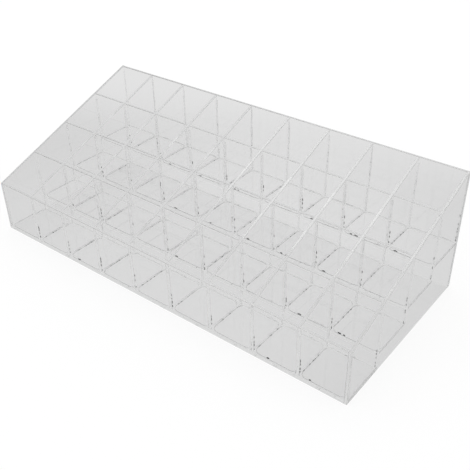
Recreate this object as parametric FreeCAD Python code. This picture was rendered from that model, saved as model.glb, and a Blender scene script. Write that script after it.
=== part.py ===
# Tiered vanity organizer of clear sheet: square open cells in rows that step up
# towards the back under one sloping rim plane.
# The frame is +Z up and +X along the length. The front faces -Y, and the origin
# lies at the middle of the footprint, on the surface that the organizer stands on.
import FreeCAD, Part
import os

# Cells: how many there are and the clear space inside one
COLUMNS = 9
ROWS = 4
CELL_LENGTH = 22.8
CELL_DEPTH = 22.8

# Heights above the standing surface
FRONT_HEIGHT = 29.0
BACK_HEIGHT = 66.0
TIER_RISE = 8.5

# Sheet that each kind of panel is cut from
END_SHEET = 1.6
FRONT_SHEET = 1.6
BACK_SHEET = 1.6
ROW_SHEET = 1.6
DIVIDER_SHEET = 1.6
FLOOR_SHEET = 1.6

# Fits and edge finish
CEMENT_LINE = 0.06
SLOT_CLEARANCE = 0.10
EDGE_ROUND = 0.40
CORNER_ROUND = 0.80

# A polished round never takes more than this share of the sheet it runs along
ROUND_LIMIT = 0.4

# Overall size, from the cells and the sheets between them
LENGTH = COLUMNS * CELL_LENGTH + (COLUMNS - 1) * DIVIDER_SHEET + 2 * END_SHEET
DEPTH = ROWS * CELL_DEPTH + (ROWS - 1) * ROW_SHEET + FRONT_SHEET + BACK_SHEET
LEFT, RIGHT = -LENGTH / 2, LENGTH / 2
FRONT, BACK = -DEPTH / 2, DEPTH / 2

# Pieces between the end panels stop a cement line short of them
INNER_LEFT = LEFT + END_SHEET + CEMENT_LINE
INNER_RIGHT = RIGHT - END_SHEET - CEMENT_LINE

TOUCH = 1e-6


def rim_height(y):
    """Height of the sloping rim plane at depth y."""
    return FRONT_HEIGHT + (BACK_HEIGHT - FRONT_HEIGHT) * (y - FRONT) / DEPTH


def cell_front(row):
    """Front wall face of a row of cells. Row 0 is the front row."""
    return FRONT + FRONT_SHEET + row * (CELL_DEPTH + ROW_SHEET)


def cell_back(row):
    """Rear wall face of a row of cells."""
    return cell_front(row) + CELL_DEPTH


def floor_top(row):
    """Height of the surface that things stand on in a row. The front floor lies on the standing surface."""
    return FLOOR_SHEET + row * TIER_RISE


def divider_left(column):
    """Left face of the divider on the right of a column. Column 0 is the left one."""
    return LEFT + END_SHEET + (column + 1) * CELL_LENGTH + column * DIVIDER_SHEET


def lap_height(row):
    """Height at which a divider and the wall behind a row meet in their slots: half way up the crossing."""
    wall_middle = (cell_back(row) + cell_front(row + 1)) / 2
    return (floor_top(row + 1) + rim_height(wall_middle)) / 2


def prism_along_x(outline, x_start, x_end):
    """Solid with an outline of (y, z) points, drawn from x_start to x_end."""
    points = [FreeCAD.Vector(x_start, y, z) for y, z in outline]
    face = Part.Face(Part.makePolygon(points + points[:1]))
    return face.extrude(FreeCAD.Vector(x_end - x_start, 0, 0))


def on_rim(edge):
    """True for an edge that lies in the sloping rim plane."""
    return all(abs(v.Z - rim_height(v.Y)) < TOUCH for v in edge.Vertexes)


def runs_along_x(edge):
    """True for a straight edge parallel to the length."""
    start, end = edge.Vertexes[0], edge.Vertexes[-1]
    return abs(start.Y - end.Y) < TOUCH and abs(start.Z - end.Z) < TOUCH


def polish(shape, edges, sheet):
    """Rounds the given edges of a panel as flame polishing does."""
    radius = min(EDGE_ROUND, ROUND_LIMIT * sheet)
    return shape.makeFillet(radius, edges)


def cross_wall(y_front, y_back, bottom):
    """Full-length upright panel, before any slots. Its square-cut top meets the rim plane at its front face."""
    top = rim_height(y_front)
    outline = [(y_front, bottom), (y_back, bottom), (y_back, top), (y_front, top)]
    return prism_along_x(outline, INNER_LEFT, INNER_RIGHT)


def polish_cross_wall(wall, y_front, sheet):
    """Rounds both long edges of an upright panel's top, slot by slot where it has slots."""
    top = rim_height(y_front)
    tops = [e for e in wall.Edges if runs_along_x(e) and abs(e.Vertexes[0].Z - top) < TOUCH]
    return polish(wall, tops, sheet)


def front_panel():
    return polish_cross_wall(cross_wall(FRONT, FRONT + FRONT_SHEET, 0), FRONT, FRONT_SHEET)


def back_panel():
    y_front = BACK - BACK_SHEET
    return polish_cross_wall(cross_wall(y_front, BACK, 0), y_front, BACK_SHEET)


def end_panel(x_outer, x_inner):
    """Trapezoid end that closes the rows, with its two rim corners eased and its outer edges polished."""
    outline = [(FRONT, 0), (BACK, 0), (BACK, BACK_HEIGHT), (FRONT, FRONT_HEIGHT)]
    panel = prism_along_x(outline, x_outer, x_inner)
    rim_corners = [e for e in panel.Edges if runs_along_x(e) and on_rim(e)]
    panel = panel.makeFillet(CORNER_ROUND, rim_corners)

    def is_exposed(edge):
        outside = all(abs(v.X - x_outer) < TOUCH for v in edge.Vertexes)
        inside_rim = on_rim(edge) and all(abs(v.X - x_inner) < TOUCH for v in edge.Vertexes)
        return outside or inside_rim

    return polish(panel, [e for e in panel.Edges if is_exposed(e)], END_SHEET)


def tier_floor(row):
    """Strip that a row of cells stands on. It reaches under the wall behind the row, which stands on it."""
    front_edge = cell_front(row) + CEMENT_LINE
    is_last = row == ROWS - 1
    back_edge = cell_back(row) - CEMENT_LINE if is_last else cell_front(row + 1)
    top = floor_top(row)
    outline = [
        (front_edge, top - FLOOR_SHEET),
        (back_edge, top - FLOOR_SHEET),
        (back_edge, top),
        (front_edge, top),
    ]
    return prism_along_x(outline, INNER_LEFT, INNER_RIGHT)


def row_wall(row):
    """Wall behind a row: riser to the next floor, cell wall above it, slotted from the rim for the dividers."""
    y_front, y_back = cell_back(row), cell_front(row + 1)
    wall = cross_wall(y_front, y_back, floor_top(row) + CEMENT_LINE)
    slot_width = DIVIDER_SHEET + 2 * SLOT_CLEARANCE
    slot_bottom = lap_height(row)
    slot_height = BACK_HEIGHT - slot_bottom
    for column in range(COLUMNS - 1):
        corner = FreeCAD.Vector(divider_left(column) - SLOT_CLEARANCE, y_front, slot_bottom)
        wall = wall.cut(Part.makeBox(slot_width, y_back - y_front, slot_height, corner))
    return polish_cross_wall(wall, y_front, ROW_SHEET)


def divider(column):
    """Full-depth plate whose foot steps up with the floors, slotted from below to drop over the row walls."""
    outline = []
    for row in range(ROWS):
        foot = floor_top(row) + CEMENT_LINE
        leg_front = cell_front(row) + SLOT_CLEARANCE
        leg_back = cell_back(row) - SLOT_CLEARANCE
        outline += [(leg_front, foot), (leg_back, foot)]
        if row < ROWS - 1:
            slot_top = lap_height(row) + SLOT_CLEARANCE
            outline += [(leg_back, slot_top), (cell_front(row + 1) + SLOT_CLEARANCE, slot_top)]
    back_edge, front_edge = outline[-1][0], outline[0][0]
    outline += [(back_edge, rim_height(back_edge)), (front_edge, rim_height(front_edge))]
    x_left = divider_left(column)
    plate = prism_along_x(outline, x_left, x_left + DIVIDER_SHEET)
    rims = [e for e in plate.Edges if on_rim(e) and not runs_along_x(e)]
    return polish(plate, rims, DIVIDER_SHEET)


def all_panels():
    """Every panel by the name that a person on the bench would use."""
    panels = {
        "left_end_panel": end_panel(LEFT, LEFT + END_SHEET),
        "right_end_panel": end_panel(RIGHT, RIGHT - END_SHEET),
        "front_panel": front_panel(),
        "back_panel": back_panel(),
    }
    for row in range(ROWS):
        panels[f"tier_floor_{row + 1}"] = tier_floor(row)
    for row in range(ROWS - 1):
        panels[f"row_wall_{row + 1}"] = row_wall(row)
    for column in range(COLUMNS - 1):
        panels[f"column_divider_{column + 1}"] = divider(column)
    return panels


os.makedirs("parts", exist_ok=True)
for name, panel in all_panels().items():
    panel.exportStep(f"parts/{name}.step")
print(f"organizer {LENGTH:.1f} x {DEPTH:.1f} x {BACK_HEIGHT:.1f} mm")
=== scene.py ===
# Dresses the clear tiered vanity organizer and lights it on a pale table.
import math
from typing import NamedTuple

import bpy
from bpy.props import FloatProperty, FloatVectorProperty, PointerProperty
from bpy.types import Operator, Panel, PropertyGroup
from mathutils import Matrix, Vector


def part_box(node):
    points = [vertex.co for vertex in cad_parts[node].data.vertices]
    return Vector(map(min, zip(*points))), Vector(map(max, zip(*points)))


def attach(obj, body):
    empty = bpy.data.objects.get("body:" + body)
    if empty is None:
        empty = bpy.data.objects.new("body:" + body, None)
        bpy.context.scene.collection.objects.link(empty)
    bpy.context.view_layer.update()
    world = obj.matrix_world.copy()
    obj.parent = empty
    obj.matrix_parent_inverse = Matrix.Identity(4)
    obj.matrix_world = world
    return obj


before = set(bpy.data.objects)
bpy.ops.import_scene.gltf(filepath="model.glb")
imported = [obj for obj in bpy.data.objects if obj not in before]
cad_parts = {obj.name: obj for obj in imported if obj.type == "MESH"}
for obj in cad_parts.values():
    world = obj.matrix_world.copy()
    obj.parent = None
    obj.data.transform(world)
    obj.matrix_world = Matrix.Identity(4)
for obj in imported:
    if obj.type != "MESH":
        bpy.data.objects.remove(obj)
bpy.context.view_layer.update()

bl_info = {
    "name": "Tiered Vanity Organizer",
    "version": (1, 0, 0),
    "blender": (4, 5, 0),
    "location": "View3D > Sidebar > Organizer",
    "description": "Clear acrylic finish, joint welds and studio for a tiered vanity organizer",
    "category": "Object",
}

ROOT_BODY = "root"

# Directions of the frame: along the length, towards the back and up
X_AXIS, Y_AXIS, Z_AXIS = (1, 0, 0), (0, 1, 0), (0, 0, 1)

# Nodes of the frame by kind
LEFT_END, RIGHT_END = "left_end_panel", "right_end_panel"
FRONT_PANEL, BACK_PANEL = "front_panel", "back_panel"
FLOORS = sorted(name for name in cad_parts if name.startswith("tier_floor_"))
ROW_WALLS = sorted(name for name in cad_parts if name.startswith("row_wall_"))
DIVIDERS = sorted(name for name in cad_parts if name.startswith("column_divider_"))


def cell_layout():
    """Lattice of the cells, read from the panels: counts, pitches, clear size and the first floor."""
    first_low, first_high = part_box(DIVIDERS[0])
    second_low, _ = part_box(DIVIDERS[1])
    wall_low, wall_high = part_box(ROW_WALLS[0])
    next_wall_low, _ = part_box(ROW_WALLS[1])
    _, floor_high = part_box(FLOORS[0])
    _, next_floor_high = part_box(FLOORS[1])
    _, front_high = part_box(FRONT_PANEL)
    column_pitch = second_low.x - first_low.x
    row_pitch = next_wall_low.y - wall_low.y
    length = column_pitch - (first_high.x - first_low.x)
    depth = row_pitch - (wall_high.y - wall_low.y)
    return {
        "columns": len(DIVIDERS) + 1,
        "rows": len(ROW_WALLS) + 1,
        "column_pitch": column_pitch,
        "row_pitch": row_pitch,
        "tier_rise": next_floor_high.z - floor_high.z,
        "cell_length": length,
        "cell_depth": depth,
        "first_cell": Vector((first_low.x - length / 2, wall_low.y - depth / 2, floor_high.z)),
        "front_wall": front_high.z - floor_high.z,
        "back_wall": wall_high.z - floor_high.z,
    }


def rim_plane():
    """Slope of the rim plane and its height at mid depth, from the front and back panels."""
    front_low, front_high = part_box(FRONT_PANEL)
    back_low, back_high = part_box(BACK_PANEL)
    slope = (back_high.z - front_high.z) / (back_low.y - front_low.y)
    return slope, front_high.z - slope * front_low.y


# Settings

class OrganizerFinish(PropertyGroup):
    """Look of the clear sheet, its cut edges and its joints."""

    sheet_tint: FloatVectorProperty(
        name="Sheet Tint",
        description="Colour that light keeps through a broad face",
        subtype="COLOR", min=0, max=1, default=(0.998, 0.998, 0.998))
    left_rim_painted_shade: FloatVectorProperty(
        name="Left Rim Painted Shade",
        # Painted shade: darker colour of the rim of the left end panel than of the same sheet's other
        # rims
        description="Colour that light keeps through the rim of the left end panel",
        subtype="COLOR", min=0, max=1, default=(0.85, 0.85, 0.85))
    rim_tint: FloatVectorProperty(
        name="Rim Tint",
        description="Colour that light keeps through the rim of any other panel",
        subtype="COLOR", min=0, max=1, default=(0.98, 0.98, 0.98))
    round_painted_shade: FloatVectorProperty(
        name="Round Painted Shade",
        # Painted shade: grey colour of the outer round of an end panel, in place of the dark line that it
        # shows
        description="Colour that light keeps through the outer round of an end panel",
        subtype="COLOR", min=0, max=1, default=(0.70, 0.70, 0.70))
    joint_tint: FloatVectorProperty(
        name="Joint Tint",
        description="Colour that light keeps through a flat cut edge",
        subtype="COLOR", min=0, max=1, default=(1.0, 1.0, 1.0))
    ior: FloatProperty(
        name="Index of Refraction",
        description="How strongly the acrylic bends light",
        min=1, max=2, default=1.49)
    clear_roughness: FloatProperty(
        name="Clear Roughness",
        description="Roughness of a clean broad face",
        subtype="FACTOR", min=0, max=1, default=0.01)
    haze_roughness: FloatProperty(
        name="Haze Roughness",
        description="Roughness where a face is smudged or scratched",
        subtype="FACTOR", min=0, max=1, default=0.06)
    rim_roughness: FloatProperty(
        name="Rim Roughness",
        description="Roughness of a polished rim",
        subtype="FACTOR", min=0, max=1, default=0.03)
    joint_roughness: FloatProperty(
        name="Joint Roughness",
        description="Roughness of a sawn edge that is bonded to another sheet",
        subtype="FACTOR", min=0, max=1, default=0.02)
    ripple: FloatProperty(
        name="Sheet Ripple",
        description="Height of the waviness of the sheet",
        subtype="DISTANCE", min=0, default=0.00002, precision=6)


class OrganizerWelds(PropertyGroup):
    """Sizes and look of the welds in the inner corners of the cells."""

    leg: FloatProperty(
        name="Weld Leg",
        description="Width and height of a weld bead",
        subtype="DISTANCE", min=0, default=0.0003, precision=5)
    upright_leg: FloatProperty(
        name="Upright Leg",
        description="Width of the bead that stands in a corner",
        subtype="DISTANCE", min=0, default=0.00025, precision=5)
    stand_off: FloatProperty(
        name="Stand-off",
        description="Space between a bead and the panels that it joins",
        subtype="DISTANCE", min=0, default=0.00003, precision=6)
    corner_radius: FloatProperty(
        name="Corner Radius",
        description="Radius of a floor bead at the corners of its cell",
        subtype="DISTANCE", min=0, default=0.0032, precision=5)
    rim_margin: FloatProperty(
        name="Rim Margin",
        description="How far below the rim an upright bead ends",
        subtype="DISTANCE", min=0, default=0.0012, precision=5)
    tint: FloatVectorProperty(
        name="Weld Tint",
        description="Colour that light keeps through a clear weld",
        subtype="COLOR", min=0, max=1, default=(0.99, 0.99, 0.99))
    seam_painted_shade: FloatVectorProperty(
        name="Seam Painted Shade",
        # Dark joint colour of the weld on the left and front of a floor, partly painted shade, as only
        # these sides take it
        description="Colour that light keeps through the weld on the left and front of a floor",
        subtype="COLOR", min=0, max=1, default=(0.64, 0.64, 0.64))
    bubble_painted_shade: FloatVectorProperty(
        name="Bubble Painted Shade",
        # Painted shade: near-black colour of a trapped bubble, in place of the shade that its edges show
        description="Colour that light keeps through a bubble",
        subtype="COLOR", min=0, max=1, default=(0.02, 0.02, 0.02))
    bubble_height: FloatProperty(
        name="Bubble Height",
        description="Height above the floor up to which a weld has fine bubbles",
        subtype="DISTANCE", min=0, default=0.011, precision=5)
    fine_bubble_shade: FloatProperty(
        name="Fine Bubble Shade",
        # Strength of the painted shade of the fine bubbles along a floor, darker towards the floor
        description="How dark the fine bubbles along a floor look",
        subtype="FACTOR", min=0, max=1, default=0.3)
    bubble_width: FloatProperty(
        name="Bubble Width",
        description="Width of a bubble that is trapped in a joint",
        subtype="DISTANCE", min=0, default=0.0004, precision=5)
    bubble_length: FloatProperty(
        name="Bubble Length",
        description="Greatest length of a bubble that is trapped in a joint",
        subtype="DISTANCE", min=0, default=0.0015, precision=5)
    bubble_pitch: FloatProperty(
        name="Bubble Pitch",
        description="Distance from one trapped bubble to the next",
        subtype="DISTANCE", min=0, default=0.0023, precision=5)


class OrganizerStudio(PropertyGroup):
    """Camera, table and light."""

    eye: FloatVectorProperty(
        name="Eye",
        description="Place of the camera",
        subtype="TRANSLATION", unit="LENGTH", default=(0.2035, -0.2376, 0.2254))
    azimuth: FloatProperty(
        name="Azimuth",
        description="Turn of the view to the right of the front",
        subtype="ANGLE", default=math.radians(38.64))
    elevation: FloatProperty(
        name="Elevation",
        description="Downward tilt of the view",
        subtype="ANGLE", default=math.radians(34.26))
    roll: FloatProperty(
        name="Roll",
        description="Turn of the picture about the line of sight",
        subtype="ANGLE", default=math.radians(-1.02))
    lens: FloatProperty(
        name="Lens",
        description="Focal length on a 36 mm square sensor",
        unit="CAMERA", min=1, default=55.1)
    table_colour: FloatVectorProperty(
        name="Table Colour",
        description="Colour of the table top",
        subtype="COLOR", min=0, max=1, default=(0.84, 0.84, 0.84))
    seen_in_acrylic: FloatProperty(
        name="Background in Acrylic",
        description="Level of the pale background as the acrylic shows it",
        min=0, max=1, default=0.62)
    background_share: FloatProperty(
        name="Background Share",
        description="Share of the plain background over the table's own shading",
        subtype="FACTOR", min=0, max=1, default=0.90)
    room_level: FloatProperty(
        name="Room Level",
        description="Light from all round",
        min=0, default=1.2)
    ceiling_level: FloatProperty(
        name="Ceiling Level",
        description="Level of the room overhead as seen through the acrylic",
        min=0, default=0.70)
    tent_level: FloatProperty(
        name="Tent Level",
        description="Level of the white tent overhead as mirrored in the acrylic",
        min=0, default=0.74)
    softbox_watts: FloatProperty(
        name="Softbox Power",
        description="Power of the overhead softbox",
        unit="POWER", min=0, default=1.0)


# Nodes

class NodeBench:
    """Adds nodes to a tree and links them, so that a material reads as a list of steps."""

    def __init__(self, tree):
        self.tree = tree

    def add(self, kind, settings=None, **inputs):
        """New node. An input is a value or an output, under its name with _ for a space."""
        node = self.tree.nodes.new(kind)
        for name, value in (settings or {}).items():
            setattr(node, name, value)
        for name, value in inputs.items():
            self.feed(node.inputs[name.replace("_", " ")], value)
        return node

    def feed(self, socket, value):
        """Links an output to the socket, or sets the socket's own value."""
        if isinstance(value, bpy.types.NodeSocket):
            self.tree.links.new(value, socket)
        else:
            socket.default_value = value

    def maths(self, operation, first, second=0.0, clamp=False):
        """One arithmetic step on two numbers or outputs."""
        node = self.add("ShaderNodeMath", {"operation": operation, "use_clamp": clamp})
        self.feed(node.inputs[0], first)
        self.feed(node.inputs[1], second)
        return node.outputs[0]

    def vector(self, x=0.0, y=0.0, z=0.0):
        """Vector of three numbers or outputs."""
        return self.add("ShaderNodeCombineXYZ", X=x, Y=y, Z=z).outputs["Vector"]

    def vector_maths(self, operation, first, second=None):
        """One step on one or two vectors, or on a vector and the number that scales it."""
        node = self.add("ShaderNodeVectorMath", {"operation": operation})
        self.feed(node.inputs[0], first)
        if second is not None:
            self.feed(node.inputs["Scale" if operation == "SCALE" else 1], second)
        return node.outputs["Value" if operation in ("DOT_PRODUCT", "LENGTH") else "Vector"]

    def remap(self, value, low, high, to_low=0.0, to_high=1.0):
        """Smooth step of value from low..high to to_low..to_high, held at both ends."""
        node = self.add("ShaderNodeMapRange", {"interpolation_type": "SMOOTHSTEP"}, Value=value)
        node.inputs["From Min"].default_value = low
        node.inputs["From Max"].default_value = high
        node.inputs["To Min"].default_value = to_low
        node.inputs["To Max"].default_value = to_high
        return node.outputs["Result"]

    def mix_value(self, factor, first, second):
        """Blend from one number to another."""
        node = self.add("ShaderNodeMix", {"data_type": "FLOAT"})
        self.feed(node.inputs[0], factor)
        self.feed(node.inputs[2], first)
        self.feed(node.inputs[3], second)
        return node.outputs[0]

    def mix_colour(self, factor, first, second, blend="MIX"):
        """Blend from one colour to another. A colour is an output or three numbers."""
        node = self.add("ShaderNodeMix", {"data_type": "RGBA", "blend_type": blend})
        self.feed(node.inputs[0], factor)
        for socket, colour in ((node.inputs[6], first), (node.inputs[7], second)):
            is_output = isinstance(colour, bpy.types.NodeSocket)
            self.feed(socket, colour if is_output else (*colour, 1.0))
        return node.outputs[2]

    def noise(self, vector, scale, detail=2.0):
        """Smooth noise from 0 to 1 with about scale features to the metre."""
        node = self.add("ShaderNodeTexNoise", Vector=vector, Scale=scale, Detail=detail)
        return node.outputs["Fac"]

    def stroke_noise(self, vector, scale):
        """Noise drawn out into strokes, with its own features to the metre along each axis."""
        drawn_out = self.add("ShaderNodeMapping", Vector=vector, Scale=scale)
        return self.noise(drawn_out.outputs["Vector"], 1.0, detail=1.0)

    def cell_distance(self, vector, scale):
        """Distance to the nearest of scattered points, about scale of them to the metre."""
        return self.add("ShaderNodeTexVoronoi", Vector=vector, Scale=scale).outputs["Distance"]


def new_group(name, inputs, outputs):
    """Empty shader node group with its sockets, and the bench, entry and exit to fill it."""
    tree = bpy.data.node_groups.new(name, "ShaderNodeTree")
    for socket, kind in inputs:
        tree.interface.new_socket(socket, in_out="INPUT", socket_type=kind)
    for socket, kind in outputs:
        tree.interface.new_socket(socket, in_out="OUTPUT", socket_type=kind)
    bench = NodeBench(tree)
    return bench, bench.add("NodeGroupInput"), bench.add("NodeGroupOutput")


# Wear of a handled sheet: features to the metre, values between which a mark fades in, and strength
SMUDGE_SCALE = 42.0
SMUDGE_DETAIL = 5.0
SMUDGE_FADE = (0.52, 0.78)
SMUDGE_STRENGTH = 0.45
UP_SCRATCH_SCALE = (900.0, 900.0, 22.0)
LONG_SCRATCH_SCALE = (26.0, 700.0, 700.0)
SCRATCH_FADE = (0.70, 0.76)
SCRATCH_STRENGTH = 0.7
SPECK_SCALE = 420.0
SPECK_FADE = (0.10, 0.05)
WAVE_SCALE = 30.0


def sheet_wear_group():
    """Smudges, fine scratches and dust on a handled clear sheet, and its slow waviness."""
    bench, entry, leave = new_group(
        "Sheet Wear",
        [("Vector", "NodeSocketVector")],
        [("Haze", "NodeSocketFloat"), ("Waviness", "NodeSocketFloat")])
    place = entry.outputs["Vector"]
    smudges = bench.remap(bench.noise(place, SMUDGE_SCALE, SMUDGE_DETAIL), *SMUDGE_FADE)
    up_scratches = bench.remap(bench.stroke_noise(place, UP_SCRATCH_SCALE), *SCRATCH_FADE)
    long_scratches = bench.remap(bench.stroke_noise(place, LONG_SCRATCH_SCALE), *SCRATCH_FADE)
    scratches = bench.maths("MAXIMUM", up_scratches, long_scratches)
    specks = bench.remap(bench.cell_distance(place, SPECK_SCALE), *SPECK_FADE)
    marks = bench.maths("MAXIMUM", bench.maths("MULTIPLY", scratches, SCRATCH_STRENGTH), specks)
    haze = bench.maths("ADD", bench.maths("MULTIPLY", smudges, SMUDGE_STRENGTH), marks, clamp=True)
    bench.feed(leave.inputs["Haze"], haze)
    bench.feed(leave.inputs["Waviness"], bench.noise(place, WAVE_SCALE, detail=1.0))
    return bench.tree


# Cutter marks across an edge: marks to the metre and values between which they fade in
CUTTER_SCALE = 1500.0
CUTTER_FADE = (0.35, 0.70)


def cut_edge_group():
    """Fine cutter marks that cross a sheet's cut edge, softened by flame polishing."""
    bench, entry, leave = new_group(
        "Cut Edge",
        [("Vector", "NodeSocketVector"), ("Along", "NodeSocketVector")],
        [("Marks", "NodeSocketFloat")])
    run = bench.vector_maths("DOT_PRODUCT", entry.outputs["Vector"], entry.outputs["Along"])
    strokes = bench.noise(bench.vector(x=run), CUTTER_SCALE)
    bench.feed(leave.inputs["Marks"], bench.remap(strokes, *CUTTER_FADE))
    return bench.tree


# Fine bubbles and flow of set cement: features to the metre and values between which they fade in
BUBBLE_RUN_SCALE = 70.0
BUBBLE_RUN_FADE = (0.46, 0.60)
FINE_BUBBLE_SCALE = 480.0
FINE_BUBBLE_FADE = (0.55, 0.35)
FLOW_SCALE = 260.0


def weld_bubble_group():
    """Strings of tiny bubbles that run in and out along a weld, and the flow of its surface."""
    bench, entry, leave = new_group(
        "Weld Bubbles",
        [("Vector", "NodeSocketVector")],
        [("Bubbles", "NodeSocketFloat"), ("Flow", "NodeSocketFloat")])
    place = entry.outputs["Vector"]
    runs = bench.remap(bench.noise(place, BUBBLE_RUN_SCALE), *BUBBLE_RUN_FADE)
    beads = bench.remap(bench.cell_distance(place, FINE_BUBBLE_SCALE), *FINE_BUBBLE_FADE)
    bench.feed(leave.inputs["Bubbles"], bench.maths("MULTIPLY", runs, beads))
    bench.feed(leave.inputs["Flow"], bench.noise(place, FLOW_SCALE))
    return bench.tree


SHARED_GROUPS = {
    "Sheet Wear": sheet_wear_group,
    "Cut Edge": cut_edge_group,
    "Weld Bubbles": weld_bubble_group,
}


def use_group(bench, name, **inputs):
    """Places a shared node group in a material, and makes the group where it is first needed."""
    tree = bpy.data.node_groups.get(name) or SHARED_GROUPS[name]()
    return bench.add("ShaderNodeGroup", {"node_tree": tree}, **inputs)


# Materials

def blank_material(name):
    """Material with only its output, ready for its own nodes."""
    material = bpy.data.materials.new(name)
    material.use_nodes = True
    material.node_tree.nodes.clear()
    bench = NodeBench(material.node_tree)
    return material, bench, bench.add("ShaderNodeOutputMaterial")


def clear_shader(bench, finish, tint, roughness, height, distance):
    """Clear acrylic whose colour, roughness and relief change over the surface."""
    bump = bench.add("ShaderNodeBump", Height=height, Strength=1.0, Distance=distance)
    shader = bench.add(
        "ShaderNodeBsdfPrincipled", Base_Color=tint, Roughness=roughness, Normal=bump.outputs["Normal"])
    shader.inputs["Metallic"].default_value = 0.0
    shader.inputs["Transmission Weight"].default_value = 1.0
    shader.inputs["IOR"].default_value = finish.ior
    return shader.outputs["BSDF"]


# Squareness of a face to its sheet: where a broad face turns into an edge, and a flat edge into a round
EDGE_FADE = (0.9, 0.3)
ROUND_FADE = (0.1, 0.3)

# Metres below the rim plane between which an edge turns into rim
RIM_FADE = (0.0020, 0.0015)

# Share of an edge's roughness that is left between cutter marks, and the marks' height in ripples
SAWN_SHARE = 0.6
POLISHED_SHARE = 0.4
CUTTER_HEIGHT = 0.05


def sheet_material(name, finish, facing, along, rim_tint):
    """Clear sheet whose broad faces look along facing. Its rim is polished and its other edges sawn. Its
    rounds carry a painted shade, and on the left end panel so does its rim.
    """
    material, bench, output = blank_material(name)
    texture = bench.add("ShaderNodeTexCoord")
    place = texture.outputs["Object"]
    wear = use_group(bench, "Sheet Wear", Vector=place)
    marks = use_group(bench, "Cut Edge", Vector=place, Along=along).outputs["Marks"]

    facing_share = bench.vector_maths("DOT_PRODUCT", texture.outputs["Normal"], facing)
    square = bench.maths("ABSOLUTE", facing_share)
    edge = bench.remap(square, *EDGE_FADE)
    rounded = bench.remap(square, *ROUND_FADE)
    spot = bench.add("ShaderNodeSeparateXYZ", Vector=place).outputs
    slope, middle_height = rim_plane()
    rim_height = bench.maths("ADD", bench.maths("MULTIPLY", spot["Y"], slope), middle_height)
    depth_below = bench.maths("SUBTRACT", rim_height, spot["Z"])
    rim = bench.maths("MULTIPLY", edge, bench.remap(depth_below, *RIM_FADE))

    # Rounds take the painted round shade, flat cut edges the joint tint.
    edge_tint_with_round_shade = bench.mix_colour(rounded, finish.joint_tint, finish.round_painted_shade)
    cut_tint = bench.mix_colour(edge, finish.sheet_tint, edge_tint_with_round_shade)
    # On the left end panel the rim tint is a painted shade.
    tint = bench.mix_colour(rim, cut_tint, rim_tint)

    def roughness_by(mask, low, high):
        return bench.remap(mask, 0.0, 1.0, low, high)

    face_roughness = roughness_by(wear.outputs["Haze"], finish.clear_roughness, finish.haze_roughness)
    sawn = roughness_by(marks, SAWN_SHARE * finish.joint_roughness, finish.joint_roughness)
    polished = roughness_by(marks, POLISHED_SHARE * finish.rim_roughness, finish.rim_roughness)
    roughness = bench.mix_value(rim, bench.mix_value(edge, face_roughness, sawn), polished)

    cutter = bench.maths("MULTIPLY", bench.maths("MULTIPLY", edge, marks), CUTTER_HEIGHT)
    height = bench.maths("ADD", wear.outputs["Waviness"], cutter)
    surface = clear_shader(bench, finish, tint, roughness, height, finish.ripple)
    bench.feed(output.inputs["Surface"], surface)
    return material


# Attributes of the welds: place within a cell, and 1 on trapped air
CELL_PLACE = "cell_place"
TRAPPED_AIR = "trapped_air"

# Weld legs from a wall or floor between which the seam, partly painted shade, fades in, and its strength
# along the left wall
SEAM_FADE = (3.0, 1.5)
LEFT_SEAM_SHADE = 0.5

# Share of the bubble height up to which fine bubbles are at full strength
FULL_BUBBLES = 0.5

# Flow of the cement's surface: values of the noise, their roughness, and height in metres
FLOW_FADE = (0.3, 0.7)
FLOW_ROUGHNESS = (0.02, 0.08)
FLOW_HEIGHT = 0.00001


def weld_material(finish, welds):
    """Clear set cement with a darker seam on the left and front of each floor, a dark joint that is
    partly painted shade. Fine bubbles near the floor and trapped air show dark, in a near-black painted
    shade.
    """
    material, bench, output = blank_material("Clear Weld With Painted Shade")
    place = bench.add("ShaderNodeTexCoord").outputs["Object"]
    bubbles = use_group(bench, "Weld Bubbles", Vector=place)
    in_cell = bench.add("ShaderNodeAttribute", {"attribute_name": CELL_PLACE}).outputs["Vector"]
    air = bench.add("ShaderNodeAttribute", {"attribute_name": TRAPPED_AIR}).outputs["Fac"]
    spot = bench.add("ShaderNodeSeparateXYZ", Vector=in_cell).outputs

    top = welds.bubble_height
    near_floor_shade = bench.remap(spot["Z"], top, FULL_BUBBLES * top, 0.0, welds.fine_bubble_shade)
    strings = bench.maths("MULTIPLY", bubbles.outputs["Bubbles"], near_floor_shade)
    # Trapped air and the fine bubbles near the floor take a near-black painted shade.
    dark = bench.maths("MAXIMUM", strings, air)

    def close_to(distance, strength=1.0):
        outer, inner = (legs * welds.leg for legs in SEAM_FADE)
        return bench.remap(distance, outer, inner, 0.0, strength)

    cells = cell_layout()
    # The seam darkens only the left and front of each floor: a dark joint, partly painted shade.
    from_left = bench.maths("ADD", spot["X"], cells["cell_length"] / 2)
    from_front = bench.maths("ADD", spot["Y"], cells["cell_depth"] / 2)
    beside = bench.maths("MAXIMUM", close_to(from_left, LEFT_SEAM_SHADE), close_to(from_front))
    seam = bench.maths("MULTIPLY", beside, close_to(spot["Z"]))

    clear = bench.mix_colour(seam, welds.tint, welds.seam_painted_shade)
    tint = bench.mix_colour(dark, clear, welds.bubble_painted_shade)
    flow = bubbles.outputs["Flow"]
    roughness = bench.remap(flow, *FLOW_FADE, *FLOW_ROUGHNESS)
    surface = clear_shader(bench, finish, tint, roughness, flow, FLOW_HEIGHT)
    bench.feed(output.inputs["Surface"], surface)
    return material


def dress(names, material):
    """Gives CAD nodes their finish."""
    for name in names:
        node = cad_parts[name]
        node.data.materials.clear()
        node.data.materials.append(material)


# Operators for the panels

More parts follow.
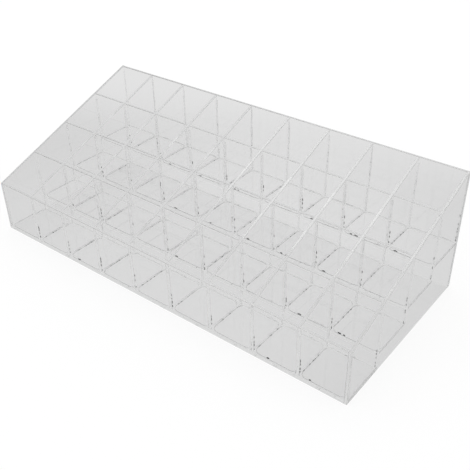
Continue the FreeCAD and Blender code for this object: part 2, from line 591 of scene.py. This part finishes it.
class ORGANIZER_OT_end_panels(Operator):
    """Finish the two trapezoid end panels"""

    bl_idname = "organizer.end_panels"
    bl_label = "End Panels"

    def execute(self, context):
        finish = context.scene.organizer_finish
        # The left end panel's rim takes a darker painted shade than the right one's, though both are cut
        # from the same sheet.
        left_painted_shade, right_tint = finish.left_rim_painted_shade, finish.rim_tint
        dress([LEFT_END], sheet_material("Clear Left Sheet With Painted Rim Shade", finish, X_AXIS, Y_AXIS, left_painted_shade))
        dress([RIGHT_END], sheet_material("Clear Right Sheet", finish, X_AXIS, Y_AXIS, right_tint))
        return {"FINISHED"}


class ORGANIZER_OT_cross_panels(Operator):
    """Finish the front and back panels"""

    bl_idname = "organizer.cross_panels"
    bl_label = "Front and Back Panels"

    def execute(self, context):
        finish = context.scene.organizer_finish
        sheet = sheet_material("Clear Cross Sheet", finish, Y_AXIS, X_AXIS, finish.rim_tint)
        dress([FRONT_PANEL, BACK_PANEL], sheet)
        return {"FINISHED"}


class ORGANIZER_OT_tier_floors(Operator):
    """Finish the stepped floors"""

    bl_idname = "organizer.tier_floors"
    bl_label = "Tier Floors"

    def execute(self, context):
        finish = context.scene.organizer_finish
        dress(FLOORS, sheet_material("Clear Floor Sheet", finish, Z_AXIS, X_AXIS, finish.rim_tint))
        return {"FINISHED"}


class ORGANIZER_OT_row_walls(Operator):
    """Finish the slotted row walls"""

    bl_idname = "organizer.row_walls"
    bl_label = "Row Walls"

    def execute(self, context):
        finish = context.scene.organizer_finish
        dress(ROW_WALLS, sheet_material("Clear Row Sheet", finish, Y_AXIS, X_AXIS, finish.rim_tint))
        return {"FINISHED"}


class ORGANIZER_OT_column_dividers(Operator):
    """Finish the slotted column dividers"""

    bl_idname = "organizer.column_dividers"
    bl_label = "Column Dividers"

    def execute(self, context):
        finish = context.scene.organizer_finish
        dress(DIVIDERS, sheet_material("Clear Divider Sheet", finish, X_AXIS, Y_AXIS, finish.rim_tint))
        return {"FINISHED"}


# Welds in the inner corners of the cells

WELD_SOCKETS = (
    ("Columns", "NodeSocketInt"),
    ("Rows", "NodeSocketInt"),
    ("First Cell", "NodeSocketVector"),
    ("Column Pitch", "NodeSocketFloat"),
    ("Row Pitch", "NodeSocketFloat"),
    ("Tier Rise", "NodeSocketFloat"),
    ("Length", "NodeSocketFloat"),
    ("Depth", "NodeSocketFloat"),
    ("Front Height", "NodeSocketFloat"),
    ("Back Height", "NodeSocketFloat"),
    ("Leg", "NodeSocketFloat"),
    ("Upright Leg", "NodeSocketFloat"),
    ("Corner Radius", "NodeSocketFloat"),
    ("Bubble Width", "NodeSocketFloat"),
    ("Bubble Length", "NodeSocketFloat"),
    ("Bubble Pitch", "NodeSocketFloat"),
    ("Material", "NodeSocketMaterial"),
)


class BubbleString(NamedTuple):
    """String of trapped bubbles, with a few places in each cell. It runs along from the front left corner
    of each floor past the first column or, at the end, from the back right corner in the last column."""

    along: tuple
    places: int
    lead: float  # metres to the first place
    left_out: tuple  # shares of the front row, and of the left and right of the other rows
    size: float  # times the width and length of the settings
    seed: int
    at_end: bool = False


BUBBLE_STRINGS = (
    BubbleString(Z_AXIS, places=4, lead=0.0014, left_out=(0.05, 0.60, 0.10), size=1.3, seed=11),
    BubbleString(Y_AXIS, places=7, lead=0.0040, left_out=(0.60, 0.75, 0.50), size=1.0, seed=23),
    BubbleString(X_AXIS, places=2, lead=0.0045, left_out=(0.80, 0.95, 0.10), size=1.7, seed=37),
    BubbleString(
        Z_AXIS, places=7, lead=0.0010, left_out=(0.25, 0.25, 0.25), size=1.2, seed=53, at_end=True),
)

# How far a bubble strays from its place, in pitches, and the shortest length as a share of the longest
BUBBLE_STRAY = 0.3
SHORTEST_BUBBLE = 0.1

# Bead: distance of its hollow face from the corner, in legs, and points on each rounded corner
BEAD_HOLLOW = 0.3
BEAD_CORNER_POINTS = 5

# Half a step, so that whole numbers lie clear of the value that they are divided by or compared with
HALF_STEP = 0.5


def bead_profile(bench, leg, sign):
    """Hollow-faced triangle with both legs on the corner, as a closed curve."""
    reach = bench.maths("MULTIPLY", leg, sign)
    hollow = bench.maths("MULTIPLY", leg, BEAD_HOLLOW * sign)
    profile = bench.add(
        "GeometryNodeCurvePrimitiveQuadrilateral", {"mode": "POINTS"},
        Point_1=(0, 0, 0), Point_2=bench.vector(x=reach),
        Point_3=bench.vector(x=hollow, y=hollow), Point_4=bench.vector(y=reach))
    return profile.outputs["Curve"]


def floor_bead(bench, given):
    """Bead that runs round the floor of one cell."""
    loop = bench.add(
        "GeometryNodeCurvePrimitiveQuadrilateral", Width=given["Length"], Height=given["Depth"])
    rounded = bench.add(
        "GeometryNodeFilletCurve", {"mode": "POLY"}, Curve=loop.outputs["Curve"],
        Count=BEAD_CORNER_POINTS, Radius=given["Corner Radius"], Limit_Radius=True)
    swept = bench.add(
        "GeometryNodeCurveToMesh", Curve=rounded.outputs["Curve"],
        Profile_Curve=bead_profile(bench, given["Leg"], -1.0))
    return swept.outputs["Mesh"]


def corner_beads(bench, given):
    """Four beads that stand in the corners of one cell, shorter in front than behind."""
    line = bench.add("GeometryNodeCurvePrimitiveLine", End=Z_AXIS)
    upright = bench.add(
        "GeometryNodeCurveToMesh", Curve=line.outputs["Curve"],
        Profile_Curve=bead_profile(bench, given["Upright Leg"], 1.0), Fill_Caps=True)

    # Quarter turns from the front left corner, with each bead's legs on the walls of its corner
    turn = bench.maths("MULTIPLY", bench.add("GeometryNodeInputIndex").outputs[0], math.pi / 2)
    towards = bench.maths("ADD", turn, math.pi / 4)
    to_corner = -math.sqrt(0.5)
    reach_x = bench.maths("MULTIPLY", given["Length"], to_corner)
    reach_y = bench.maths("MULTIPLY", given["Depth"], to_corner)
    x = bench.maths("MULTIPLY", bench.maths("COSINE", towards), reach_x)
    y = bench.maths("MULTIPLY", bench.maths("SINE", towards), reach_y)
    corners = bench.add("GeometryNodePoints", Count=4, Position=bench.vector(x, y))

    extra = bench.maths("SUBTRACT", given["Back Height"], given["Front Height"])
    behind = bench.maths("GREATER_THAN", y, 0.0)
    height = bench.maths("ADD", given["Front Height"], bench.maths("MULTIPLY", behind, extra))
    stood = bench.add(
        "GeometryNodeInstanceOnPoints", Points=corners.outputs[0], Instance=upright.outputs["Mesh"],
        Rotation=bench.vector(z=turn), Scale=bench.vector(1.0, 1.0, height))
    return stood.outputs["Instances"]


def marked(bench, geometry, name, kind, value):
    """Geometry with a named attribute on its points."""
    node = bench.add(
        "GeometryNodeStoreNamedAttribute", {"data_type": kind},
        Geometry=geometry, Name=name, Value=value)
    return node.outputs[0]


def air_ball(bench):
    """Small round bubble of unit width."""
    ball = bench.add("GeometryNodeMeshUVSphere", Segments=8, Rings=6, Radius=0.5)
    smooth = bench.add("GeometryNodeSetShadeSmooth", Geometry=ball.outputs["Mesh"])
    return marked(bench, smooth.outputs[0], TRAPPED_AIR, "FLOAT", 1.0)


def random_number(bench, low, high, seed):
    """Number that differs from point to point, the same on each run."""
    node = bench.add("FunctionNodeRandomValue", {"data_type": "FLOAT"}, Seed=seed)
    bench.feed(node.inputs[2], low)
    bench.feed(node.inputs[3], high)
    return node.outputs[1]


def divided(bench, number, count):
    """Whole number of counts in a number from 0 up, and what is left over."""
    share = bench.maths("DIVIDE", bench.maths("ADD", number, HALF_STEP), count)
    whole = bench.maths("FLOOR", share)
    return whole, bench.maths("SUBTRACT", number, bench.maths("MULTIPLY", whole, count))


def cell_spot(bench, given, row, column):
    """Middle of the floor of a cell."""
    step = bench.vector(
        bench.maths("MULTIPLY", column, given["Column Pitch"]),
        bench.maths("MULTIPLY", row, given["Row Pitch"]),
        bench.maths("MULTIPLY", row, given["Tier Rise"]))
    return bench.vector_maths("ADD", given["First Cell"], step)


def bubble_string(bench, given, string):
    """Bubbles trapped in one joint of the cells, each a ball that is drawn out along the joint."""
    index = bench.add("GeometryNodeInputIndex").outputs[0]
    cell, number = divided(bench, index, string.places)
    row, column = divided(bench, cell, given["Columns"])
    width = bench.maths("MULTIPLY", given["Bubble Width"], string.size)
    half = bench.maths("MULTIPLY", width, 0.5)
    side = 1.0 if string.at_end else -1.0

    def by_the_wall(clear):
        reach = bench.maths("SUBTRACT", bench.maths("MULTIPLY", clear, 0.5), half)
        return bench.maths("MULTIPLY", reach, side)

    corner = bench.vector(by_the_wall(given["Length"]), by_the_wall(given["Depth"]), half)
    start = bench.vector_maths("ADD", cell_spot(bench, given, row, column), corner)
    stray = random_number(bench, -BUBBLE_STRAY, BUBBLE_STRAY, string.seed)
    pitches = bench.maths("ADD", number, stray)
    run = bench.maths("ADD", bench.maths("MULTIPLY", pitches, given["Bubble Pitch"]), string.lead)
    place = bench.vector_maths("ADD", start, bench.vector_maths("SCALE", string.along, run))
    cells = bench.maths("MULTIPLY", given["Columns"], given["Rows"])
    total = bench.maths("MULTIPLY", cells, string.places)
    points = bench.add("GeometryNodePoints", Count=total, Position=place)

    front_share, left_share, right_share = string.left_out
    rightward = bench.maths("DIVIDE", column, given["Columns"])
    other_share = bench.mix_value(rightward, left_share, right_share)
    share = bench.mix_value(bench.maths("MINIMUM", row, 1.0), front_share, other_share)
    left_out = bench.maths("LESS_THAN", random_number(bench, 0.0, 1.0, string.seed + 1), share)
    first_column = bench.maths("SUBTRACT", given["Columns"], 1.0) if string.at_end else 1.0
    too_early = bench.maths("LESS_THAN", bench.maths("ADD", column, HALF_STEP), first_column)
    missing = bench.maths("MAXIMUM", left_out, too_early)
    kept = bench.add("GeometryNodeDeleteGeometry", Geometry=points.outputs[0], Selection=missing)

    length = random_number(bench, SHORTEST_BUBBLE * string.size, string.size, string.seed + 2)
    longer = bench.maths("MULTIPLY", length, given["Bubble Length"])
    drawn_out = bench.vector_maths("SCALE", string.along, longer)
    size = bench.vector_maths("ADD", bench.vector(width, width, width), drawn_out)
    strung = bench.add(
        "GeometryNodeInstanceOnPoints", Points=kept.outputs[0], Instance=air_ball(bench), Scale=size)
    return strung.outputs["Instances"]


def weld_tree():
    """Geometry nodes that lay the beads of one cell in every cell, and the strings of bubbles."""
    tree = bpy.data.node_groups.new("Cell Welds", "GeometryNodeTree")
    for name, kind in WELD_SOCKETS:
        tree.interface.new_socket(name, in_out="INPUT", socket_type=kind)
    tree.interface.new_socket("Geometry", in_out="OUTPUT", socket_type="NodeSocketGeometry")
    bench = NodeBench(tree)
    given = bench.add("NodeGroupInput").outputs
    beads = bench.add("GeometryNodeJoinGeometry")
    bench.feed(beads.inputs[0], floor_bead(bench, given))
    bench.feed(beads.inputs[0], corner_beads(bench, given))
    one_cell = bench.add("GeometryNodeRealizeInstances", Geometry=beads.outputs[0])
    in_cell = bench.add("GeometryNodeInputPosition").outputs[0]
    kit = marked(bench, one_cell.outputs[0], CELL_PLACE, "FLOAT_VECTOR", in_cell)

    index = bench.add("GeometryNodeInputIndex").outputs[0]
    place = cell_spot(bench, given, *divided(bench, index, given["Columns"]))
    count = bench.maths("MULTIPLY", given["Columns"], given["Rows"])
    cells = bench.add("GeometryNodePoints", Count=count, Position=place)
    laid = bench.add("GeometryNodeInstanceOnPoints", Points=cells.outputs[0], Instance=kit)
    everything = bench.add("GeometryNodeJoinGeometry")
    bench.feed(everything.inputs[0], laid.outputs["Instances"])
    for string in BUBBLE_STRINGS:
        bench.feed(everything.inputs[0], bubble_string(bench, given, string))
    solid = bench.add("GeometryNodeRealizeInstances", Geometry=everything.outputs[0])
    coated = bench.add(
        "GeometryNodeSetMaterial", Geometry=solid.outputs[0], Material=given["Material"])
    leave = bench.add("NodeGroupOutput")
    bench.feed(leave.inputs["Geometry"], coated.outputs[0])
    return tree


def grown(name, tree, values):
    """Plain mesh object with what a geometry node tree makes from the given values."""
    seed = bpy.data.objects.new(name + "_seed", bpy.data.meshes.new(name + "_seed"))
    bpy.context.scene.collection.objects.link(seed)
    modifier = seed.modifiers.new("Grow", "NODES")
    modifier.node_group = tree
    for item in tree.interface.items_tree:
        if item.in_out == "INPUT":
            modifier[item.identifier] = values[item.name]
    evaluated = seed.evaluated_get(bpy.context.evaluated_depsgraph_get())
    mesh = bpy.data.meshes.new_from_object(evaluated)
    bpy.data.objects.remove(seed)
    mesh.name = name
    piece = bpy.data.objects.new(name, mesh)
    bpy.context.scene.collection.objects.link(piece)
    return piece


class ORGANIZER_OT_cell_welds(Operator):
    """Run clear welds with trapped bubbles round the floor of every cell and up its corners"""

    bl_idname = "organizer.cell_welds"
    bl_label = "Cell Welds"

    def execute(self, context):
        welds = context.scene.organizer_welds
        cells = cell_layout()
        gap = welds.stand_off
        piece = grown("cell_welds", weld_tree(), {
            "Columns": cells["columns"],
            "Rows": cells["rows"],
            "First Cell": cells["first_cell"] + Vector((0, 0, gap)),
            "Column Pitch": cells["column_pitch"],
            "Row Pitch": cells["row_pitch"],
            "Tier Rise": cells["tier_rise"],
            "Length": cells["cell_length"] - 2 * gap,
            "Depth": cells["cell_depth"] - 2 * gap,
            "Front Height": cells["front_wall"] - welds.rim_margin,
            "Back Height": cells["back_wall"] - welds.rim_margin,
            "Leg": welds.leg,
            "Upright Leg": welds.upright_leg,
            "Corner Radius": welds.corner_radius,
            "Bubble Width": welds.bubble_width,
            "Bubble Length": welds.bubble_length - welds.bubble_width,
            "Bubble Pitch": welds.bubble_pitch,
            "Material": weld_material(context.scene.organizer_finish, welds),
        })
        if not piece.data.polygons:
            raise RuntimeError("the welds came out empty")
        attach(piece, ROOT_BODY)
        return {"FINISHED"}


# Studio

# Camera: sensor in millimetres, and nearest thing that it sees in metres
SENSOR_WIDTH = 36.0
CLIP_START = 0.01

# Table: half its side and how far it lies below the organizer, in metres, and the grain of its top
TABLE_REACH = 8.0
TABLE_DROP = 0.0001
GRAIN_SCALE = 900.0
GRAIN_FADE = (0.2, 0.8)
GRAIN_LEVELS = (0.97, 1.0)

# Painted light on the table as the acrylic shows it, paler towards the far side and under the middle:
# metres to the far side or from the middle, and how much
FAR_SIDE = (-0.25, 0.97, 0.0)
FAR_FADE = (0.08, 0.20)
FAR_PAINTED_LIGHT = 0.125
UNDER_FADE = (0.18, 0.06)
UNDER_PAINTED_LIGHT = 0.12

# Upward part of a direction, between which the room turns from background to overhead
OVERHEAD_FADE = (0.15, 0.45)

# Softbox that hangs behind the organizer on the left and faces straight down, in metres
SOFTBOX_PLACE = (-0.28, 0.28, 0.9)
SOFTBOX_TARGET = (-0.28, 0.28, 0.0)
SOFTBOX_SIZE = (0.55, 0.36)

# Light runs far along a clear sheet before it leaves, so it may bounce this often
BOUNCES = 128


def camera_turn(azimuth, elevation, roll):
    """Rotation of a camera that looks down at the front, turned to the right by azimuth."""
    level_right = Vector((math.cos(azimuth), math.sin(azimuth), 0))
    ahead = Vector((
        -math.sin(azimuth) * math.cos(elevation),
        math.cos(azimuth) * math.cos(elevation),
        -math.sin(elevation)))
    level_up = level_right.cross(ahead)
    right = level_right * math.cos(roll) + level_up * math.sin(roll)
    up = right.cross(ahead)
    return Matrix((right, up, -ahead)).transposed()


def add_camera(studio):
    """Camera at the photograph's place and angle."""
    data = bpy.data.cameras.new("Camera")
    data.sensor_fit = "HORIZONTAL"
    data.sensor_width = SENSOR_WIDTH
    data.lens = studio.lens
    data.clip_start = CLIP_START
    data.dof.use_dof = False
    camera = bpy.data.objects.new("Camera", data)
    turn = camera_turn(studio.azimuth, studio.elevation, studio.roll)
    camera.matrix_world = Matrix.Translation(studio.eye) @ turn.to_4x4()
    bpy.context.scene.collection.objects.link(camera)
    bpy.context.scene.camera = camera


def ray_levels(bench, mirrored, seen_through):
    """Level for a ray, white for the camera and as given in the acrylic, and a mask of such rays."""
    path = bench.add("ShaderNodeLightPath").outputs
    direct = path["Is Camera Ray"]
    through = path["Is Transmission Ray"]
    mirror = bench.maths("MULTIPLY", path["Is Glossy Ray"], bench.maths("SUBTRACT", 1.0, through))
    mirror_level = bench.maths("MULTIPLY", mirror, mirrored)
    through_level = bench.maths("MULTIPLY", through, seen_through)
    level = bench.maths("ADD", direct, bench.maths("ADD", mirror_level, through_level))
    shown = bench.maths("MAXIMUM", direct, bench.maths("MAXIMUM", mirror, through))
    return level, shown


def table_material(studio):
    """Pale table that reads as a plain background and keeps a little of its own shading, with painted
    light towards the far side and under the organizer where the acrylic shows it.
    """
    material, bench, output = blank_material("Pale Table")
    place = bench.add("ShaderNodeTexCoord").outputs["Object"]
    # Painted light: in the acrylic the table is paler towards the far side and under the middle of the
    # organizer.
    away = bench.vector_maths("DOT_PRODUCT", place, FAR_SIDE)
    far = bench.remap(away, *FAR_FADE, 0.0, FAR_PAINTED_LIGHT)
    under = bench.remap(bench.vector_maths("LENGTH", place), *UNDER_FADE, 0.0, UNDER_PAINTED_LIGHT)
    pale = bench.maths("ADD", bench.maths("ADD", far, under), studio.seen_in_acrylic)
    level, shown = ray_levels(bench, pale, pale)
    grain = bench.remap(bench.noise(place, GRAIN_SCALE), *GRAIN_FADE, *GRAIN_LEVELS)
    colour = bench.mix_colour(1.0, studio.table_colour, grain, "MULTIPLY")
    matte = bench.add("ShaderNodeBsdfDiffuse", Color=colour)
    plain = bench.add("ShaderNodeEmission", Strength=level)
    mixed = bench.add("ShaderNodeMixShader")
    bench.feed(mixed.inputs[0], bench.maths("MULTIPLY", shown, studio.background_share))
    bench.feed(mixed.inputs[1], matte.outputs["BSDF"])
    bench.feed(mixed.inputs[2], plain.outputs["Emission"])
    bench.feed(output.inputs["Surface"], mixed.outputs["Shader"])
    return material


def add_table(studio):
    """Large level table just under the organizer."""
    sides = ((-1, -1), (1, -1), (1, 1), (-1, 1))
    corners = [(x * TABLE_REACH, y * TABLE_REACH, -TABLE_DROP) for x, y in sides]
    mesh = bpy.data.meshes.new("table")
    mesh.from_pydata(corners, [], [(0, 1, 2, 3)])
    mesh.materials.append(table_material(studio))
    table = bpy.data.objects.new("table", mesh)
    bpy.context.scene.collection.objects.link(table)


def add_room(studio):
    """World with plain light all round, white behind for the camera and darker in the acrylic."""
    world = bpy.data.worlds.new("Room")
    world.use_nodes = True
    world.node_tree.nodes.clear()
    bench = NodeBench(world.node_tree)
    output = bench.add("ShaderNodeOutputWorld")
    direction = bench.add("ShaderNodeTexCoord").outputs["Generated"]
    upward = bench.add("ShaderNodeSeparateXYZ", Vector=direction).outputs["Z"]
    mirrored = bench.remap(upward, *OVERHEAD_FADE, studio.seen_in_acrylic, studio.tent_level)
    seen_through = bench.remap(upward, *OVERHEAD_FADE, studio.seen_in_acrylic, studio.ceiling_level)
    level, shown = ray_levels(bench, mirrored, seen_through)
    hidden = bench.maths("SUBTRACT", 1.0, shown)
    strength = bench.maths("ADD", level, bench.maths("MULTIPLY", hidden, studio.room_level))
    background = bench.add("ShaderNodeBackground", Color=(1, 1, 1, 1), Strength=strength)
    bench.feed(output.inputs["Surface"], background.outputs["Background"])
    bpy.context.scene.world = world


def add_softbox(studio):
    """Soft rectangular lamp overhead, which isn't seen through the acrylic."""
    data = bpy.data.lights.new("overhead softbox", "AREA")
    data.shape = "RECTANGLE"
    data.size, data.size_y = SOFTBOX_SIZE
    data.energy = studio.softbox_watts
    lamp = bpy.data.objects.new("overhead softbox", data)
    towards = (Vector(SOFTBOX_TARGET) - Vector(SOFTBOX_PLACE)).to_track_quat("-Z", "Y")
    lamp.matrix_world = Matrix.Translation(SOFTBOX_PLACE) @ towards.to_matrix().to_4x4()
    lamp.visible_transmission = False
    bpy.context.scene.collection.objects.link(lamp)


class ORGANIZER_OT_studio(Operator):
    """Set up the camera, the pale table, the room and the softbox"""

    bl_idname = "organizer.studio"
    bl_label = "Studio"

    def execute(self, context):
        studio = context.scene.organizer_studio
        add_camera(studio)
        add_table(studio)
        add_room(studio)
        add_softbox(studio)
        cycles = context.scene.cycles
        cycles.max_bounces = BOUNCES
        cycles.transmission_bounces = BOUNCES
        cycles.glossy_bounces = BOUNCES
        context.scene.view_settings.view_transform = "Standard"
        return {"FINISHED"}


# Panel and registration

class ORGANIZER_PT_sidebar(Panel):
    """Steps of the organizer, in the order that they are run"""

    bl_label = "Vanity Organizer"
    bl_space_type = "VIEW_3D"
    bl_region_type = "UI"
    bl_category = "Organizer"

    def draw(self, context):
        for step in STEPS:
            self.layout.operator(step.bl_idname)
        for group in SETTINGS:
            settings = getattr(context.scene, group)
            box = self.layout.box()
            for name in settings.__annotations__:
                box.prop(settings, name)


STEPS = (
    ORGANIZER_OT_end_panels,
    ORGANIZER_OT_cross_panels,
    ORGANIZER_OT_tier_floors,
    ORGANIZER_OT_row_walls,
    ORGANIZER_OT_column_dividers,
    ORGANIZER_OT_cell_welds,
    ORGANIZER_OT_studio,
)
SETTINGS = {
    "organizer_finish": OrganizerFinish,
    "organizer_welds": OrganizerWelds,
    "organizer_studio": OrganizerStudio,
}
CLASSES = (*SETTINGS.values(), *STEPS, ORGANIZER_PT_sidebar)


def register():
    for cls in CLASSES:
        bpy.utils.register_class(cls)
    for name, group in SETTINGS.items():
        setattr(bpy.types.Scene, name, PointerProperty(type=group))


def unregister():
    for name in SETTINGS:
        delattr(bpy.types.Scene, name)
    for cls in reversed(CLASSES):
        bpy.utils.unregister_class(cls)


def main():
    register()
    for step in STEPS:
        family, action = step.bl_idname.split(".")
        getattr(getattr(bpy.ops, family), action)()


if __name__ == "__main__":
    main()
